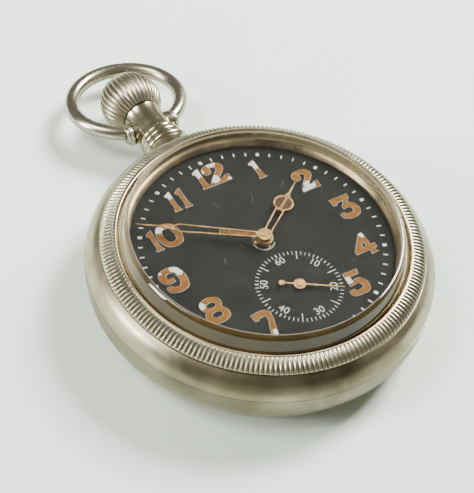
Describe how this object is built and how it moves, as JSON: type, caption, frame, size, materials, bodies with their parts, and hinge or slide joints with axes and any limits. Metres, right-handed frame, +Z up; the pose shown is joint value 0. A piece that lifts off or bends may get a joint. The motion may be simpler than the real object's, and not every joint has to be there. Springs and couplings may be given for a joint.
{
  "type": "pocket_watch",
  "caption": "Open face nickel silver pocket watch with a black dial, luminous numerals, seconds at six, milled screw bezel, ribbed crown and round wire bow",
  "frame": {"origin": "the middle of the worn flat on the back", "axes": "+Z up out of the dial, +Y to 12 o'clock and the pendant, +X to 3 o'clock"},
  "size_m": [0.052, 0.0777, 0.0145],
  "materials": {
    "case_metal": "aged nickel silver, polished, faint tarnish",
    "bow_metal": "aged nickel silver wire, worn bright",
    "crown_metal": "aged nickel silver, ribbed",
    "crystal_glass": "clear flat glass with a bevelled edge",
    "dial_black": "matte black enamel paint, lightly marked",
    "hand_copper": "gilt steel gone coppery brown",
    "plate_gilt": "frosted gilt brass",
    "wheel_brass": "polished brass",
    "steel_polished": "polished steel",
    "steel_blue": "blued steel",
    "jewel_ruby": "synthetic ruby",
    "balance_gilt": "polished brass with bimetal rim"
  },
  "bodies": {
    "case": {"case_middle": "case_metal", "pendant": "case_metal", "pendant_sleeve": "steel_polished", "main_plate": "plate_gilt", "dial": "dial_black", "dial_foot_screws": "steel_polished", "setting_cover": "steel_polished", "barrel_bridge": "plate_gilt", "train_bridge": "plate_gilt", "jewels": "jewel_ruby", "bridge_screws": "steel_blue", "case_screws": "steel_polished", "crown_wheel_screw": "steel_polished", "click_spring": "steel_polished", "pallet_bridge": "plate_gilt", "hairspring_stud": "steel_polished", "hairspring": "steel_blue", "balance_cock": "plate_gilt", "cock_screw": "steel_blue", "endstone_cap": "steel_polished", "yoke_spring": "steel_polished"},
    "back": {"case_back": "case_metal"},
    "bezel": {"front_bezel": "case_metal", "crystal": "crystal_glass"},
    "bow_ring": {"bow": "bow_metal"},
    "winding": {"winding_pinion": "steel_polished"},
    "crown_stem": {"crown": "crown_metal", "winding_stem": "steel_polished"},
    "sliding_clutch": {"clutch": "steel_polished"},
    "lever": {"setting_lever": "steel_polished"},
    "yoke_arm": {"yoke": "steel_polished"},
    "crown_wheel_body": {"crown_wheel": "steel_polished"},
    "ratchet": {"ratchet_wheel": "steel_polished", "ratchet_screw": "steel_polished", "barrel_arbor": "steel_polished"},
    "click_body": {"click": "steel_polished"},
    "barrel": {"barrel_drum": "wheel_brass", "barrel_cover": "wheel_brass", "mainspring": "steel_blue"},
    "center": {"center_wheel": "wheel_brass", "cannon_pinion": "steel_polished", "minute_hand": "hand_copper"},
    "hour": {"hour_wheel": "wheel_brass", "hour_hand": "hand_copper", "dial_washer": "wheel_brass"},
    "minute_work": {"minute_wheel": "wheel_brass"},
    "setting_work": {"setting_wheel": "steel_polished"},
    "third": {"third_wheel": "wheel_brass"},
    "fourth": {"fourth_wheel": "wheel_brass", "seconds_hand": "hand_copper"},
    "escape": {"escape_wheel": "steel_polished"},
    "pallets": {"pallet_fork": "steel_polished", "pallet_stones": "jewel_ruby"},
    "balance": {"balance_wheel": "balance_gilt", "balance_screws": "wheel_brass", "balance_staff": "steel_polished", "roller": "steel_polished"},
    "regulator_arm": {"regulator": "steel_polished"}
  },
  "joints": [
    {"name": "bow_swing", "type": "hinge", "parent": "case", "child": "bow_ring", "pos_m": [0, 0.0333, 0.0053], "axis": [1, 0, 0], "range_deg": [-128, 130]},
    {"name": "bezel_unscrew", "type": "slide", "parent": "case", "child": "bezel", "axis": [0, 0, 1], "range_m": [0, 0.003]},
    {"name": "back_off", "type": "slide", "parent": "case", "child": "back", "axis": [0, 0, -1], "range_m": [0, 0.005]},
    {"name": "crown_turn", "type": "hinge", "parent": "case", "child": "winding", "pos_m": [0, 0.016, 0.0053], "axis": [0, 1, 0], "continuous": true},
    {"name": "crown_pull", "type": "slide", "parent": "winding", "child": "crown_stem", "axis": [0, 1, 0], "range_m": [0, 0.0009]},
    {"name": "clutch_shift", "type": "slide", "parent": "winding", "child": "sliding_clutch", "axis": [0, -1, 0], "range_m": [0, 0.0008]},
    {"name": "lever_turn", "type": "hinge", "parent": "case", "child": "lever", "pos_m": [0.0036, 0.0169, 0.0068], "axis": [0, 0, -1], "range_deg": [0, 14.5]},
    {"name": "yoke_turn", "type": "hinge", "parent": "case", "child": "yoke_arm", "pos_m": [-0.005, 0.0136, 0.0068], "axis": [0, 0, -1], "range_deg": [0, 12]},
    {"name": "crown_wheel_turn", "type": "hinge", "parent": "case", "child": "crown_wheel_body", "pos_m": [0, 0.01256, 0.0032], "axis": [0, 0, -1], "continuous": true},
    {"name": "ratchet_turn", "type": "hinge", "parent": "case", "child": "ratchet", "pos_m": [0.008, 0.00531, 0.0032], "axis": [0, 0, 1], "continuous": true},
    {"name": "click_lift", "type": "hinge", "parent": "case", "child": "click_body", "pos_m": [0.0166, 0.01, 0.0032], "axis": [0, 0, 1], "range_deg": [0, 8], "stiffness_Nm_per_rad": 0.0002},
    {"name": "seconds_run", "type": "hinge", "parent": "case", "child": "fourth", "pos_m": [0, -0.00935, 0.0053], "axis": [0, 0, -1], "continuous": true},
    {"name": "third_run", "type": "hinge", "parent": "case", "child": "third", "pos_m": [0.00518, -0.00563, 0.0063], "axis": [0, 0, -1], "continuous": true},
    {"name": "minutes_run", "type": "hinge", "parent": "case", "child": "center", "pos_m": [0, 0, 0.0067], "axis": [0, 0, -1], "continuous": true},
    {"name": "barrel_run", "type": "hinge", "parent": "case", "child": "barrel", "pos_m": [0.008, 0.00531, 0.0053], "axis": [0, 0, -1], "continuous": true},
    {"name": "escape_run", "type": "hinge", "parent": "case", "child": "escape", "pos_m": [-0.00526, -0.00977, 0.006], "axis": [0, 0, -1], "continuous": true},
    {"name": "minute_work_run", "type": "hinge", "parent": "case", "child": "minute_work", "pos_m": [-0.0013, 0.00378, 0.0085], "axis": [0, 0, -1], "continuous": true},
    {"name": "hours_run", "type": "hinge", "parent": "case", "child": "hour", "pos_m": [0, 0, 0.009], "axis": [0, 0, -1], "continuous": true},
    {"name": "setting_work_run", "type": "hinge", "parent": "case", "child": "setting_work", "pos_m": [0, 0.00799, 0.0083], "axis": [0, 0, -1], "continuous": true},
    {"name": "balance_swing", "type": "hinge", "parent": "case", "child": "balance", "pos_m": [-0.011, -0.0065, 0.005], "axis": [0, 0, 1], "range_deg": [-270, 270], "stiffness_Nm_per_rad": 0.00000072},
    {"name": "pallet_rock", "type": "hinge", "parent": "case", "child": "pallets", "pos_m": [-0.00787, -0.00829, 0.006], "axis": [0, 0, -1], "range_deg": [-5, 5]},
    {"name": "regulator_turn", "type": "hinge", "parent": "case", "child": "regulator_arm", "pos_m": [-0.011, -0.0065, 0.0032], "axis": [0, 0, 1], "range_deg": [-20, 20]}
  ],
  "couplings": [
    {"joint": "clutch_shift", "follows": "crown_pull", "ratio": 0.88889},
    {"joint": "lever_turn", "follows": "crown_pull", "rad_per_m": 277.31},
    {"joint": "yoke_turn", "follows": "crown_pull", "rad_per_m": 226.89},
    {"joint": "crown_wheel_turn", "follows": "crown_turn", "ratio": -0.46667},
    {"joint": "ratchet_turn", "follows": "crown_turn", "ratio": -0.23333},
    {"joint": "third_run", "follows": "seconds_run", "ratio": -0.13333},
    {"joint": "minutes_run", "follows": "seconds_run", "ratio": 0.016667},
    {"joint": "barrel_run", "follows": "seconds_run", "ratio": -0.002381},
    {"joint": "escape_run", "follows": "seconds_run", "ratio": -10},
    {"joint": "minute_work_run", "follows": "seconds_run", "ratio": -0.0055556},
    {"joint": "hours_run", "follows": "seconds_run", "ratio": 0.0013889},
    {"joint": "setting_work_run", "follows": "seconds_run", "ratio": 0.011905},
    {"joint": "pallet_rock", "follows": "balance_swing", "ratio": 0.018519}
  ]
}
